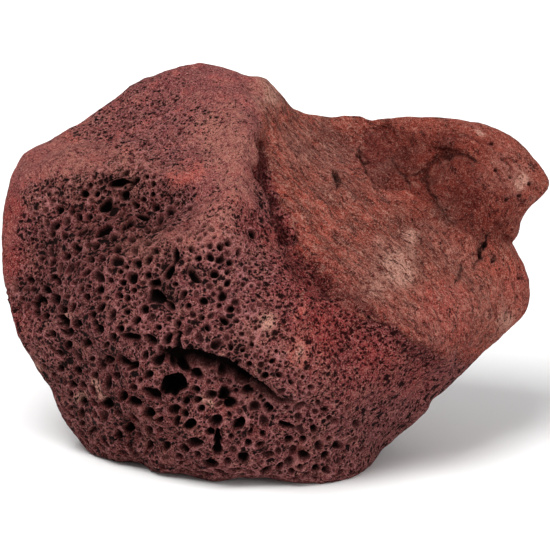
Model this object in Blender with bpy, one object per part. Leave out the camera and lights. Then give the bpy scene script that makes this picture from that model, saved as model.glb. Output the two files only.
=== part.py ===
"""Lava rock: one lump of red scoria, about 18 cm wide, that rests on a broken flat underside.

The stone is worked out in a sighting frame that looks at its broad face from 15 degrees above: across to the
right, up, and out towards the onlooker, in millimetres from the heart of the stone. Spot heights fix its form,
a hand-drawn contour fixes its outline, folds and chips sharpen it, and bubbles are cut out of it. The result is
turned upright, set down on its flat underside and scaled to metres.
"""
import itertools
import math

import bmesh
import bpy
import numpy as np
from mathutils import Matrix, Vector
from mathutils.bvhtree import BVHTree

MM = 0.001
SIGHT_TILT = math.radians(15.0)   # how far the sighting frame looks down
SIGHT_DISTANCE = 1600.0           # from how far off the contour was drawn
BASE_DROP = 55.0                  # from the heart down to the flat underside
CENTRE_SHIFT = (-3.1, 4.3)        # moves the middle of the bounding box onto the origin, in x and y
CONTOUR_SOFTNESS = math.radians(1.0)  # how widely its corners are rounded
CONTOUR_BLUR = math.radians(14.0) # how widely the contour is evened out in the middle of the stone
NOTCH_FADE = 6                    # how fast its notches fade inwards
FRONT_CROWDING = 1.3              # how much finer the mesh is in front than behind
REFINED_RADIUS = 18.0             # how far round the boss the mesh is twice as fine
SEED = 7
CREVICE_GAP = 4.6                 # height and depth of the crevice under the lip
CREVICE_DEPTH = 8.0
TRIED_BUBBLES = 1500              # the scatter: how many are tried and kept, and their sizes
SCATTERED_BUBBLES = 64
BIGGEST_BUBBLE = 5.2
BUBBLE_WALL = 0.8                 # least wall left between bubbles
LOWEST_BUBBLE = 7.0               # none is cut lower than this, so that the underside stays whole

CONTOUR = [  # (across, up, out), counter-clockwise from the right-hand tip
    (96.0, 34.5, -4), (91.7, 39.7, -5), (86.7, 46.0, -6), (80.0, 51.0, -8), (71.7, 54.0, -10),
    (61.7, 55.7, -12), (51.7, 56.0, -14), (43.3, 55.7, -18), (35.3, 54.7, -22), (31.7, 56.3, -23),
    (21.7, 56.0, -25), (13.3, 57.0, -22), (9.0, 58.6, -20), (5.0, 64.0, -16), (1.7, 67.3, -12),
    (-1.0, 69.3, -9), (-6.3, 69.7, -9), (-13.3, 72.3, -10), (-21.7, 74.0, -12), (-30.0, 73.0, -12),
    (-38.3, 69.7, -12), (-45.0, 66.0, -11), (-51.7, 61.0, -10), (-61.7, 53.7, -8), (-71.7, 48.3, -6),
    (-81.0, 43.7, -4), (-83.7, 38.3, -3), (-86.0, 30.0, -2), (-87.3, 23.3, -1), (-87.7, 13.3, 0),
    (-86.7, 0.0, -1), (-87.6, -15.4, -2), (-78.3, -23.3, -3), (-71.7, -34.3, -4), (-67.3, -44.3, -4),
    (-57.7, -57.0, -2), (-48.3, -59.0, 6), (-41.7, -58.7, 10), (-37.7, -62.0, 16), (-26.7, -62.7, 22),
    (-17.7, -65.7, 26), (-8.3, -64.0, 28), (1.7, -64.3, 29), (11.7, -66.3, 29), (21.7, -66.3, 27),
    (30.0, -64.0, 20), (35.7, -59.7, 12), (39.3, -54.3, 6), (45.0, -49.7, 3), (54.3, -42.0, 0),
    (55.7, -38.3, 0), (63.3, -31.7, -2), (72.3, -22.7, -3), (81.0, -14.7, -3), (86.0, -10.3, -3),
    (88.3, -5.0, -4), (88.0, 1.7, -5), (85.7, 8.3, -6), (82.3, 13.9, -7), (84.7, 17.7, -7),
    (85.0, 21.7, -6), (88.3, 26.3, -5), (93.3, 30.7, -4),
]

SPOTS = {  # surface heights (across, up, out)
    "crown": [(-20, 66, 4), (-38, 59, 4), (-52, 52, 2), (-28, 49, 18), (-13, 54, 17), (-3, 64, 2)],
    "brow": [(-75, 40, 6), (-65, 42, 12), (-55, 40, 20), (-38, 38, 27), (-25, 35, 33)],
    "left_hollow": [(-72, 27, 14), (-51, 32, 23), (-57, 17, 30), (-77, 10, 12), (-38, 27, 31), (-27, 26, 35)],
    "ridge": [(-5, 58, 13), (-7, 47, 26), (-8, 37, 35), (-12, 27, 42), (-20, 19, 47), (-28, 14, 49)],
    "flow_lip": [(-40, 12, 42), (-52, 7, 37), (-62, -2, 28)],
    "belly": [(-42, -5, 46), (-53, -17, 38), (-22, -10, 55), (-8, -5, 56), (-1, -17, 60), (12, -20, 59)],
    "under_lip": [(-28, -29, 50), (-10, -37, 52), (-42, -38, 38), (-22, -52, 42), (-1, -53, 44), (18, -50, 43),
        (-57, -42, 18), (-38, -54, 26)],
    "left_flank": [(-80, -5, 8), (-72, -20, 14), (-65, -8, 25), (-67, -33, 8)],
    "gutter": [(4, 45, 13), (6, 35, 21), (8, 23, 30), (12, 13, 37), (19, 2, 45)],
    "crust_edge": [(27, -6, 48), (36, -12, 48), (47, -19, 43), (58, -22, 32)],
    "crust_slope": [(7, 55, -4), (13, 45, 3), (23, 35, 8), (16, 22, 25), (36, 38, -3), (38, 22, 14), (28, 12, 32),
        (45, 5, 31), (55, 15, 15), (58, -5, 32), (69, -11, 23), (66, 3, 18), (74, 6, 11)],
    "saddle": [(22, 53, -20), (35, 51, -20)],
    "right_lobe": [(78, 0, 11), (80, -7, 8)],
    "knob": [(62, 50, -2), (77, 46, 2), (84, 37, 4), (79, 28, 9), (66, 32, 14), (58, 42, 1), (50, 42, -2),
        (43, 47, -12), (56, 27, 8), (70, 17, 10), (77, 18, 8)],
    "lower_right": [(18, -12, 55), (30, -26, 50), (42, -33, 34), (22, -38, 49), (32, -48, 32), (47, -41, 14),
        (58, -31, 14)],
    "back": [(-30, 55, -34), (-58, 38, -34), (-74, 12, -26), (-70, -20, -26), (-52, -44, -30), (-20, -56, -22),
        (-20, 28, -54), (-48, 4, -52), (-36, -28, -52), (-4, 2, -60), (-2, -32, -50), (22, 30, -50),
        (30, -8, -56), (50, 36, -40), (58, 8, -46), (74, 30, -26), (76, 2, -26), (60, -24, -28),
        (34, -38, -32), (20, -54, -10), (4, 52, -42)],
}

FOLDS = {  # height (or depth) of the crest, half width, then its line of (across, up)
    "ridge": (2.5, 5.0, [(-2, 66), (-5, 55), (-6, 45), (-8, 35), (-12, 26), (-20, 20), (-28, 15)]),
    "gutter": (-4.5, 4.0, [(0, 48), (2, 36), (5, 24), (9, 13), (16, 3)]),
    "brow": (3.0, 6.0, [(-78, 40), (-62, 39), (-48, 38), (-35, 36), (-25, 35)]),
    "under_brow": (-2.8, 8.0, [(-66, 25), (-56, 25), (-44, 25), (-34, 24)]),
    "flow_lip": (2.0, 5.0, [(-28, 14), (-40, 12), (-52, 7), (-62, -2)]),
    "crust_edge": (3.5, 4.5, [(26, -5), (38, -12), (50, -19), (59, -23)]),
    "under_crust": (-2.0, 7.0, [(26, -16), (36, -22), (46, -28)]),
    "crevice_lip": (3.5, 4.5, [(-30, -17), (-20, -18), (-10, -22), (0, -28), (7, -34)]),
    "under_crevice": (-2.5, 5.0, [(-24, -27), (-12, -31), (-1, -37)]),
    "right_notch": (-2.5, 4.0, [(80, 13), (72, 12), (67, 5)]),
    "crust_streak": (1.5, 5.0, [(24, 34), (36, 20), (52, 4), (66, -6)]),
    "recess": (-3.5, 13.0, [(57, 36), (65, 29)]),
    "ledge": (2.0, 4.5, [(36, 38), (46, 36)]),
}
BOSS = (64.0, 31.5)       # the oval boss in the recess near the right-hand end, its radius up and its slimness
BOSS_RADIUS = 11.5
BOSS_SLIMNESS = 1.15
GROOVE_TOWARDS = (-0.6, 0.8)  # the groove round it is deepest on this side
CHIPS = [  # flats broken off the back and the ends: the way they face (across, up, out) and how far out they lie
    (-40, 40, -60, 68.0), (-70, 10, -45, 77.0), (-45, -25, -60, 65.0), (-5, 20, -80, 58.0),
    (-8, -25, -70, 62.0), (35, 10, -70, 63.0), (30, 45, -60, 65.0), (65, 20, -40, 88.0),
    (60, -20, -45, 71.0), (-75, -25, -25, 78.0), (-60, 50, -25, 87.0), (10, 60, -50, 63.0),
    (-20, 65, -45, 71.0), (70, -15, -20, 85.0), (25, -35, -45, 57.0),
]

COARSE_ZONES = [(-38, -32, 30, 1.0), (-12, -45, 28, 1.0), (22, -45, 22, 0.9), (-48, 8, 30, 0.7)]
HOLES = [  # hand-placed cavities: across, up, length, width, depth, turn in degrees
    (-29.3, -32.5, 8.8, 7.0, 9, 30), (-37.7, -42.3, 5.2, 4.4, 5, 60), (7.3, -45.2, 6.2, 3.0, 4, -15),
    (-9, -45, 4.2, 3.4, 4, 80), (-15.3, -49, 5.5, 2.8, 4, 90), (-43, -16.7, 8, 3.0, 3, 5),
    (-33.3, -5, 10.6, 4.8, 7, -27), (-30, 7.3, 11.5, 3.0, 6, 65), (-21.8, 3, 7.5, 2.6, 4, -47),
    (-48.7, 33.7, 6.8, 3.0, 4, 10), (-39.7, 22.3, 6.2, 2.8, 4, -20), (-53.3, 18, 7.0, 5.6, 5, 45),
    (-60, 17.3, 5.0, 3.2, 3, 75), (-52, 25.5, 5.8, 4.0, 4, 55), (-61.7, 11, 4.6, 3.0, 3, 30),
    (-73.3, -5.3, 5, 2.8, 3, -30),
]
CREVICE = [(-30, -21.8), (-21.5, -22.3), (-13, -24.6), (-6, -28.6), (0, -32.6), (5, -37)]
DISHES = [(-50.3, -25, 6, 5, 1.8, 20), (-46, -35.7, 6.5, 5, 1.8, 0), (-44.7, -46.7, 5.5, 5, 1.6, 60),
    (-12.7, -39, 7, 4.5, 1.6, 0), (10.7, -54, 6.5, 5, 1.8, 20), (-3, -47.5, 5.5, 5, 1.8, 0)]


def noise(points, size, seed):
    """Smooth noise between -1 and 1: random heights on a cubic lattice of this size, blended between."""
    table = np.random.default_rng(seed).uniform(-1, 1, (32, 32, 32))
    low = np.floor(points / size).astype(int)
    part = points / size - low
    part = part * part * (3 - 2 * part)
    total = np.zeros(len(points))
    for corner in itertools.product((0, 1), repeat=3):
        weight = np.prod(np.where(corner, part, 1 - part), axis=1)
        total += weight * table[tuple(((low + corner) % 32).T)]
    return total


def thin_plate(places, values, stiffness=0.0):
    """The smoothest bending sheet through (or, if it has stiffness, near) these values at these places."""
    def kernel(at):
        squares = ((at[:, None] - places[None]) ** 2).sum(axis=-1) / 1000
        return squares * np.log(squares + 1e-9)

    def tilt(at):
        return np.hstack([np.ones((len(at), 1)), at / 30])

    count = len(places)
    system = np.block([[kernel(places) + stiffness * np.eye(count), tilt(places)], [tilt(places).T, np.zeros((3, 3))]])
    weights = np.linalg.solve(system, np.concatenate([values, np.zeros(3)]))
    return lambda at: kernel(at) @ weights[:count] + tilt(at) @ weights[count:]


def contour_points():
    """The contour as it really lies: drawn from SIGHT_DISTANCE, its nearer points look larger than they are."""
    points = np.array(CONTOUR, float)
    points[:, :2] *= 1 - points[:, 2:] / SIGHT_DISTANCE
    return points


def contour_radius(angles, blur=0.0):
    """The contour's radius at these bearings, averaged over blur either way."""
    points = contour_points()[:, :2]
    own = np.arctan2(points[:, 1], points[:, 0])
    order = np.argsort(own)
    steps = np.linspace(-blur, blur, 9) if blur else [0.0]
    radii = [
        np.interp(angles + step, own[order], np.linalg.norm(points, axis=1)[order], period=2 * math.pi)
        for step in steps
    ]
    return np.mean(radii, axis=0)


def spread(angles, share):
    """Where a ball's outline share lands in the plane of the contour: its notches fade out towards the middle."""
    notched, even = contour_radius(angles, CONTOUR_SOFTNESS), contour_radius(angles, CONTOUR_BLUR)
    reach = share * (even + (notched - even) * share ** NOTCH_FADE)
    return np.column_stack([reach * np.cos(angles), reach * np.sin(angles)])


def bulge(places):
    """How far between the middle (1) and the contour (0) each place lies, on a circle's arc."""
    angles, distance = np.arctan2(places[:, 1], places[:, 0]), np.hypot(*places.T)
    share = distance / contour_radius(angles, CONTOUR_BLUR)
    for _ in range(6):
        share = share * distance / np.hypot(*spread(angles, share).T)
    return np.sqrt(np.clip(1 - share ** 2, 0.0, 1.0))


def fullness(names, rim):
    """The function that brings the surface from the rim sheet out to these spot heights: height over bulge."""
    spots = np.array([spot for name in names for spot in SPOTS[name]], float)
    return thin_plate(spots[:, :2], (spots[:, 2] - rim(spots[:, :2])) / bulge(spots[:, :2]), 0.02)


def distance_to_line(places, line):
    """Distance from each place to the nearest point of a line of straight runs."""
    nearest = np.full(len(places), np.inf)
    for start, end in itertools.pairwise(np.array(line, float)):
        run = end - start
        share = np.clip((places - start) @ run / (run @ run), 0, 1)
        nearest = np.minimum(nearest, np.linalg.norm(places - start - share[:, None] * run, axis=1))
    return nearest


def folds(places):
    """Height added in front by the folds, each a bell across its line, and by the boss in its ring groove."""
    height = np.zeros(len(places))
    for rise, width, line in FOLDS.values():
        height += rise * np.exp(-(distance_to_line(places, line) / width) ** 2)
    offset = places - BOSS
    reach = np.linalg.norm(offset * (BOSS_SLIMNESS, 1.0), axis=1)
    towards = np.clip(offset @ GROOVE_TOWARDS / np.maximum(reach, 1.0), -0.5, 1)
    groove = np.exp(-((reach - BOSS_RADIUS - 1.0) / 2.2) ** 2)
    return height + 1.6 * np.exp(-(reach / BOSS_RADIUS) ** 8) - (0.6 + 1.4 * towards) * groove


def crowd(directions):
    """A ball's points slid towards the front by scaling its stereographic map, which keeps small shapes."""
    ratio = np.sqrt((1 - directions[:, 2]) / np.maximum(1 + directions[:, 2], 1e-9)) / FRONT_CROWDING
    ratio = np.minimum(ratio, 1e4)
    flat = np.hypot(directions[:, 0], directions[:, 1])
    outline = directions[:, :2] / np.maximum(flat, 1e-9)[:, None]
    return np.column_stack([outline * (2 * ratio / (1 + ratio ** 2))[:, None], (1 - ratio ** 2) / (1 + ratio ** 2)])


def form(directions):
    """Points of the stone's form, in the sighting frame, for unit directions from a ball's middle.

    A ball's outline is spread to the contour. Its depth is a rim sheet through the contour's own depths, plus
    bulge times fullness, which is positive in front and negative behind. Folds are added in front, chips behind.
    """
    places = spread(np.arctan2(directions[:, 1], directions[:, 0]), np.hypot(directions[:, 0], directions[:, 1]))
    contour = contour_points()
    rim = thin_plate(contour[:, :2], contour[:, 2], 0.02)
    front = fullness([name for name in SPOTS if name != "back"], rim)(places)
    back = -fullness(["back"], rim)(places)
    facing = np.clip(directions[:, 2] * 1.8 - 0.2, 0, 1)
    out = rim(places) + directions[:, 2] * np.where(directions[:, 2] > 0, front, back) + facing * folds(places)
    points = np.column_stack([places, out])
    lumps = 0.022 * noise(points, 26.0, SEED) + 0.014 * noise(points, 12.0, SEED + 1)
    points *= 1 + (lumps * np.minimum(1.0, 1.6 * np.abs(directions[:, 2])))[:, None]
    return chipped(points)


def chipped(points):
    """The points with the chips broken off: whatever stands above a chip's plane is pressed down onto it."""
    for *toward, distance in CHIPS:
        normal = np.array(toward) / np.linalg.norm(toward)
        points = points - normal * np.maximum(points @ normal - distance, 0)[:, None]
    return points


def upright(points):
    """The points in the stone's own frame, in metres: x across, y away, z up from the flat underside."""
    across, up, out = np.asarray(points, float).T
    height = up * math.cos(SIGHT_TILT) + out * math.sin(SIGHT_TILT) + BASE_DROP
    away = up * math.sin(SIGHT_TILT) - out * math.cos(SIGHT_TILT)
    return MM * np.column_stack([across + CENTRE_SHIFT[0], away + CENTRE_SHIFT[1], np.maximum(height, 0.0)])


def ball_directions(ball):
    """The unit directions of a ball's points, slid towards the front."""
    directions = np.array([vertex.co for vertex in ball.verts])
    return crowd(directions / np.linalg.norm(directions, axis=1)[:, None])


def refine_around_boss(ball):
    """Halves the ball's edges where the boss and its groove will be."""
    directions = ball_directions(ball)
    reach = np.linalg.norm(form(directions)[:, :2] - BOSS, axis=1) + np.where(directions[:, 2] > 0, 0, 1000)
    near = [edge for edge in ball.edges if all(reach[end.index] < REFINED_RADIUS for end in edge.verts)]
    bmesh.ops.subdivide_edges(ball, edges=near, cuts=1, use_grid_fill=True)
    bmesh.ops.triangulate(ball, faces=ball.faces)


def make_stone():
    """The whole stone as one mesh, before the bubbles are cut."""
    ball = bmesh.new()
    bmesh.ops.create_icosphere(ball, subdivisions=5, radius=1.0)
    ball.verts.index_update()
    refine_around_boss(ball)
    for vertex, place in zip(ball.verts, upright(form(ball_directions(ball)))):
        vertex.co = place
    mesh = bpy.data.meshes.new("lava_rock")
    ball.to_mesh(mesh)
    ball.free()
    return bpy.data.objects.new("lava_rock", mesh)


def turned_upright(vector):
    """A direction of the sighting frame in the stone's own frame."""
    return Matrix.Rotation(math.pi / 2 - SIGHT_TILT, 3, "X") @ Vector(vector)


def coarseness(places, facing):
    """How coarse the pits are at these places: 1 in the middle of a coarse zone, 0 on the smooth crust."""
    front = np.zeros(len(places))
    for across, up, radius, share in COARSE_ZONES:
        reach = np.hypot(places[:, 0] - across, places[:, 1] - up) / radius
        front = np.maximum(front, share * np.clip(1.3 - reach ** 2, 0, 1))
    behind = np.clip(0.55 + 0.6 * noise(places, 30.0, SEED + 2), 0, 0.85)
    return np.where(facing > -0.2, front, behind)


def scatter():
    """Seeded bubbles (place, diameter) all over the coarse parts, biggest first, each clear of the others."""
    random = np.random.default_rng(SEED)
    directions = random.normal(size=(TRIED_BUBBLES, 3))
    directions /= np.linalg.norm(directions, axis=1)[:, None]
    places = form(directions)
    diameters = BIGGEST_BUBBLE * coarseness(places, directions[:, 2]) * random.uniform(0.5, 1.0, TRIED_BUBBLES)
    kept = []
    for index in np.argsort(-diameters):
        gaps = [np.linalg.norm(places[index] - places[other]) - diameters[other] / 2 for other in kept]
        if min(gaps, default=np.inf) > diameters[index] / 2 + BUBBLE_WALL:
            kept.append(index)
    return [(places[index], diameters[index]) for index in kept[:SCATTERED_BUBBLES]]


def surface_tree(stone):
    """The stone's surface, ready for finding points on it."""
    shape = bmesh.new()
    shape.from_mesh(stone.data)
    tree = BVHTree.FromBMesh(shape)
    shape.free()
    return tree


def seen_at(tree, across, up):
    """The surface point and normal that an onlooker sees at this place of the sighting frame."""
    towards = turned_upright((0, 0, 1))
    start = Vector(upright([(across, up, 0.0)])[0]) + towards * 0.2
    return tree.ray_cast(start, -towards)[:2]


def add_bubble(cutters, point, normal, size, turn=0.0):
    """An ellipsoid of this length, width and depth, its middle on the surface, its length turned in that surface."""
    length = turned_upright((math.cos(math.radians(turn)), math.sin(math.radians(turn)), 0))
    length = (length - normal * length.dot(normal)).normalized()
    frame = Matrix((length, normal.cross(length), normal)).transposed().to_4x4()
    scale = Matrix.Diagonal((size[0] * MM / 2, size[1] * MM / 2, size[2] * MM, 1.0))
    bmesh.ops.create_icosphere(
        cutters, subdivisions=2 if max(size) > 8 else 1, radius=1.0, matrix=Matrix.Translation(point) @ frame @ scale
    )


def add_hand_placed(cutters, tree):
    """The hand-placed cavities and the crevice, which digs inwards and up. Returns their middles and radii."""
    placed = []
    for across, up, length, width, depth, turn in HOLES + DISHES:
        point, normal = seen_at(tree, across, up)
        add_bubble(cutters, point, normal, (length, width, depth), turn)
        placed.append((point, length / 2))
    for start, end in itertools.pairwise(CREVICE):
        run = Vector(end) - Vector(start)
        point, normal = seen_at(tree, *(Vector(start) + run / 2))
        out_and_down = (normal - turned_upright((0, 1, 0)) * 0.5).normalized()
        size = (run.length * 1.5, CREVICE_GAP, CREVICE_DEPTH)
        add_bubble(cutters, point, out_and_down, size, math.degrees(math.atan2(run.y, run.x)))
        placed.append((point, run.length / 2))
    return placed


def make_bubbles(tree):
    """Every bubble that is cut out of the stone, in one mesh."""
    cutters = bmesh.new()
    placed = add_hand_placed(cutters, tree)
    for turn, (place, diameter) in enumerate(scatter()):
        point, normal, _, _ = tree.find_nearest(Vector(upright([place])[0]))
        clear = all((point - other).length > (diameter / 2 + radius + BUBBLE_WALL) * MM for other, radius in placed)
        if clear and point.z > LOWEST_BUBBLE * MM:
            add_bubble(cutters, point, normal, (diameter, diameter * 0.8, diameter * 0.55), turn * 40.0)
    mesh = bpy.data.meshes.new("bubbles")
    cutters.to_mesh(mesh)
    cutters.free()
    return bpy.data.objects.new("bubbles", mesh)


def stone_material():
    """Dull red-brown scoria."""
    material = bpy.data.materials.new("red_scoria")
    material.use_nodes = True
    surface = material.node_tree.nodes["Principled BSDF"]
    surface.inputs["Base Color"].default_value = (0.24, 0.07, 0.05, 1.0)
    surface.inputs["Roughness"].default_value = 0.9
    surface.inputs["Metallic"].default_value = 0.0
    return material


def make_collection(name):
    """A collection of the scene."""
    collection = bpy.data.collections.new(name)
    bpy.context.scene.collection.children.link(collection)
    return collection


def build():
    """The stone with its bubbles cut out, in one collection, and the bubbles in another."""
    stone = make_stone()
    make_collection("lava_rock").objects.link(stone)
    bubbles = make_bubbles(surface_tree(stone))
    make_collection("cutters").objects.link(bubbles)
    bubbles.hide_render = True
    bubbles.display_type = "WIRE"
    stone.data.materials.append(stone_material())
    cut = stone.modifiers.new("bubbles", "BOOLEAN")
    cut.operation = "DIFFERENCE"
    cut.solver = "EXACT"
    cut.use_self = True
    cut.object = bubbles


for leftover in list(bpy.data.objects):
    bpy.data.objects.remove(leftover, do_unlink=True)
build()
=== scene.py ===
"""Lava rock, dressed: one lump of red scoria as a single closed skin, pits and all, on a pale floor.

The stone is worked out in a sighting frame that looks at its broad face from 15 degrees above: across to the
right, up, and out towards the onlooker, in millimetres from the heart of the stone. The solid's form is worked
out on a fine ball of square cells, its surface is roughened, and gas bubbles down to 1.3 mm wide are pressed in.
Masks drawn in the sighting plane tell the material where crust, froth, stain and bare stone lie, and where it paints
shade and highlights; the material draws more pores between the pressed-in ones, in cells 0.9 to 2.4 mm wide. It
paints shade into the pits, pores, cracks, crevice and hollows, and light onto the rims of pits and pores.
"""
import itertools
import math

import bpy
import numpy as np
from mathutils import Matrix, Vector


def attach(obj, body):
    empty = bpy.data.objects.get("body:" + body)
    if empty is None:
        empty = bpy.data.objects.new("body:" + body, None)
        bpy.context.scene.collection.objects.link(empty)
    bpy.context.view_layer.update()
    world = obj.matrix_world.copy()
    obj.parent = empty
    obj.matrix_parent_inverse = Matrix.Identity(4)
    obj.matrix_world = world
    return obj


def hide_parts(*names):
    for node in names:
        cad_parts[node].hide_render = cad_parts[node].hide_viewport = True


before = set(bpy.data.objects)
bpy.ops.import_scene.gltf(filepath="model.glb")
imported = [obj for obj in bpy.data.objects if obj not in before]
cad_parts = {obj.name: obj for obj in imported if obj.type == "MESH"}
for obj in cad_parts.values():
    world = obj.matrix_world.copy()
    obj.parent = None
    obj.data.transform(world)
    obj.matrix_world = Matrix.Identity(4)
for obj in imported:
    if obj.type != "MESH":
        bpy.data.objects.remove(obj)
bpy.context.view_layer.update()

MM = 0.001
SIGHT_TILT = math.radians(15.0)   # how far the sighting frame looks down
SIGHT_DISTANCE = 1600.0           # from how far off the contour was drawn
BASE_DROP = 55.0                  # from the heart down to the flat underside
CENTRE_SHIFT = (-3.1, 4.3)        # moves the middle of the bounding box onto the origin, in x and y
CONTOUR_SOFTNESS = math.radians(1.0)  # how widely its corners are rounded
CONTOUR_BLUR = math.radians(14.0)  # how widely the contour is evened out in the middle of the stone
NOTCH_FADE = 6                    # how fast its notches fade inwards
SEED = 7
CREVICE_GAP = 4.6                 # height and depth of the crevice under the lip
CREVICE_DEPTH = 8.0
TRIED_BUBBLES = 1500              # the scatter: how many are tried and kept, and their sizes
SCATTERED_BUBBLES = 64
BIGGEST_BUBBLE = 5.2
BUBBLE_WALL = 0.8                 # least wall left between bubbles

CELLS = 127                       # cells along each side of the ball's six faces
SKIN_CROWDING = 1.65              # how much finer the skin's cells are in front than behind
FINE_WIDTH = 4.6                  # the finer bubbles: the greatest width, how many are tried, the least width and
FINE_TRIES = 40000                # the least wall
FINE_LEAST = 1.3
FINE_WALL = 0.15
CREVICE_CLEARANCE = 2.7           # finer bubbles keep this far off a line this much lower than the crevice
CREVICE_LOWER = (0, 0.7)
CREVICE_LEAN = 0.2                # how much the crevice digs upwards
CREVICE_HALF = (0.29, 0.22, -0.38)  # its half height, as a share of the gap, is this quadratic of its run
CREVICE_LEAST = 0.5               # least half height of the crevice
CREVICE_FADE = 2.6                # how much further it fades out below its line than above, and how steeply
CREVICE_TAPER = 1.2
CREVICE_CLOSE = 8                 # how fast it closes past its ends
PIT_FACING = 0.42                 # a pit is drawn out to look round, as if at least this share of it faced out;
FINE_FACING = 0.62                # the same for the finer bubbles, which also vary in length, depth, rim and turn
FINE_LENGTHS = (0.9, 1.3)
FINE_DEPTHS = (0.4, 1.3)
FINE_SOFTNESS = (0.45, 0.9)
FINE_TURN = 35
FAR_AWAY = 1e6                    # farther off than anything on the stone
SNAP = 0.5                        # points this near a rim slide onto it, or within this share of a small pit
SNAP_SHARE = 0.28
FAR_FROM_RIM = 3.0                # the rim distance is not told beyond this
FLOOR_FRONT = 3.0                 # the floor, in metres: how far it reaches in front and behind, the radius of
FLOOR_BACK = 1.5                  # its bend, and the backdrop's height, which is also half its width
FLOOR_BEND = 0.8
BACKDROP_HEIGHT = 4.0
SURROUND = 0.33                   # how bright the pale surround is
CAMERA_DISTANCE = 1.6
SENSOR_WIDTH = 36.0
FRAME_WIDTH = 550 / 3 * MM        # what the camera's frame spans at the stone
FRAME_MIDDLE = (10 / 3, 10 / 3)   # the middle of the frame, across and up from the heart

CONTOUR = [  # (across, up, out), counter-clockwise from the right-hand tip
    (96, 34.5, -4), (91.7, 39.7, -5), (86.7, 46, -6), (80, 51, -8), (71.7, 54, -10), (61.7, 55.7, -12),
    (51.7, 56, -14), (43.3, 55.7, -18), (35.3, 54.7, -22), (31.7, 56.3, -23), (21.7, 56, -25), (13.3, 57, -22),
    (9, 58.6, -20), (5, 64, -16), (1.7, 67.3, -12), (-1, 69.3, -9), (-6.3, 69.7, -9), (-13.3, 72.3, -10),
    (-21.7, 74, -12), (-30, 73, -12), (-38.3, 69.7, -12), (-45, 66, -11), (-51.7, 61, -10), (-61.7, 53.7, -8),
    (-71.7, 48.3, -6), (-81, 43.7, -4), (-83.7, 38.3, -3), (-86, 30, -2), (-87.3, 23.3, -1), (-87.7, 13.3, 0),
    (-86.7, 0, -1), (-87.6, -15.4, -2), (-78.3, -23.3, -3), (-71.7, -34.3, -4), (-67.3, -44.3, -4),
    (-57.7, -57, -2), (-48.3, -59, 6), (-41.7, -58.7, 10), (-37.7, -62, 16), (-26.7, -62.7, 22), (-17.7, -65.7, 26),
    (-8.3, -64, 28), (1.7, -64.3, 29), (11.7, -66.3, 29), (21.7, -66.3, 27), (30, -64, 20), (35.7, -59.7, 12),
    (39.3, -54.3, 6), (45, -49.7, 3), (54.3, -42, 0), (55.7, -38.3, 0), (63.3, -31.7, -2), (72.3, -22.7, -3),
    (81, -14.7, -3), (86, -10.3, -3), (88.3, -5, -4), (88, 1.7, -5), (85.7, 8.3, -6), (82.3, 13.9, -7),
    (84.7, 17.7, -7), (85, 21.7, -6), (88.3, 26.3, -5), (93.3, 30.7, -4),
]

SPOTS = {  # surface heights (across, up, out)
    "crown": [(-20, 66, 4), (-38, 59, 4), (-52, 52, 2), (-28, 49, 18), (-13, 54, 17), (-3, 64, 2)],
    "brow": [(-75, 40, 6), (-65, 42, 12), (-55, 40, 20), (-38, 38, 27), (-25, 35, 33)],
    "left_hollow": [(-72, 27, 14), (-51, 32, 23), (-57, 17, 30), (-77, 10, 12), (-38, 27, 31), (-27, 26, 35)],
    "ridge": [(-5, 58, 13), (-7, 47, 26), (-8, 37, 35), (-12, 27, 42), (-20, 19, 47), (-28, 14, 49)],
    "flow_lip": [(-40, 12, 42), (-52, 7, 37), (-62, -2, 28)],
    "belly": [(-42, -5, 46), (-53, -17, 38), (-22, -10, 55), (-8, -5, 56), (-1, -17, 60), (12, -20, 59)],
    "under_lip": [(-28, -29, 50), (-10, -37, 52), (-42, -38, 38), (-22, -52, 42), (-1, -53, 44), (18, -50, 43),
        (-57, -42, 18), (-38, -54, 26)],
    "left_flank": [(-80, -5, 8), (-72, -20, 14), (-65, -8, 25), (-67, -33, 8)],
    "gutter": [(4, 45, 13), (6, 35, 21), (8, 23, 30), (12, 13, 37), (19, 2, 45)],
    "crust_edge": [(27, -6, 48), (36, -12, 48), (47, -19, 43), (58, -22, 32)],
    "crust_slope": [(7, 55, -4), (13, 45, 3), (23, 35, 8), (16, 22, 25), (36, 38, -3), (38, 22, 14), (28, 12, 32),
        (45, 5, 31), (55, 15, 15), (58, -5, 32), (69, -11, 23), (66, 3, 18), (74, 6, 11)],
    "saddle": [(22, 53, -20), (35, 51, -20)],
    "right_lobe": [(78, 0, 11), (80, -7, 8)],
    "knob": [(62, 50, -2), (77, 46, 2), (84, 37, 4), (79, 28, 9), (66, 32, 14), (58, 42, 1), (50, 42, -2),
        (43, 47, -12), (56, 27, 8), (70, 17, 10), (77, 18, 8)],
    "lower_right": [(18, -12, 55), (30, -26, 50), (42, -33, 34), (22, -38, 49), (32, -48, 32), (47, -41, 14),
        (58, -31, 14)],
    "back": [(-30, 55, -34), (-58, 38, -34), (-74, 12, -26), (-70, -20, -26), (-52, -44, -30), (-20, -56, -22),
        (-20, 28, -54), (-48, 4, -52), (-36, -28, -52), (-4, 2, -60), (-2, -32, -50), (22, 30, -50),
        (30, -8, -56), (50, 36, -40), (58, 8, -46), (74, 30, -26), (76, 2, -26), (60, -24, -28),
        (34, -38, -32), (20, -54, -10), (4, 52, -42)],
}

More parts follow.
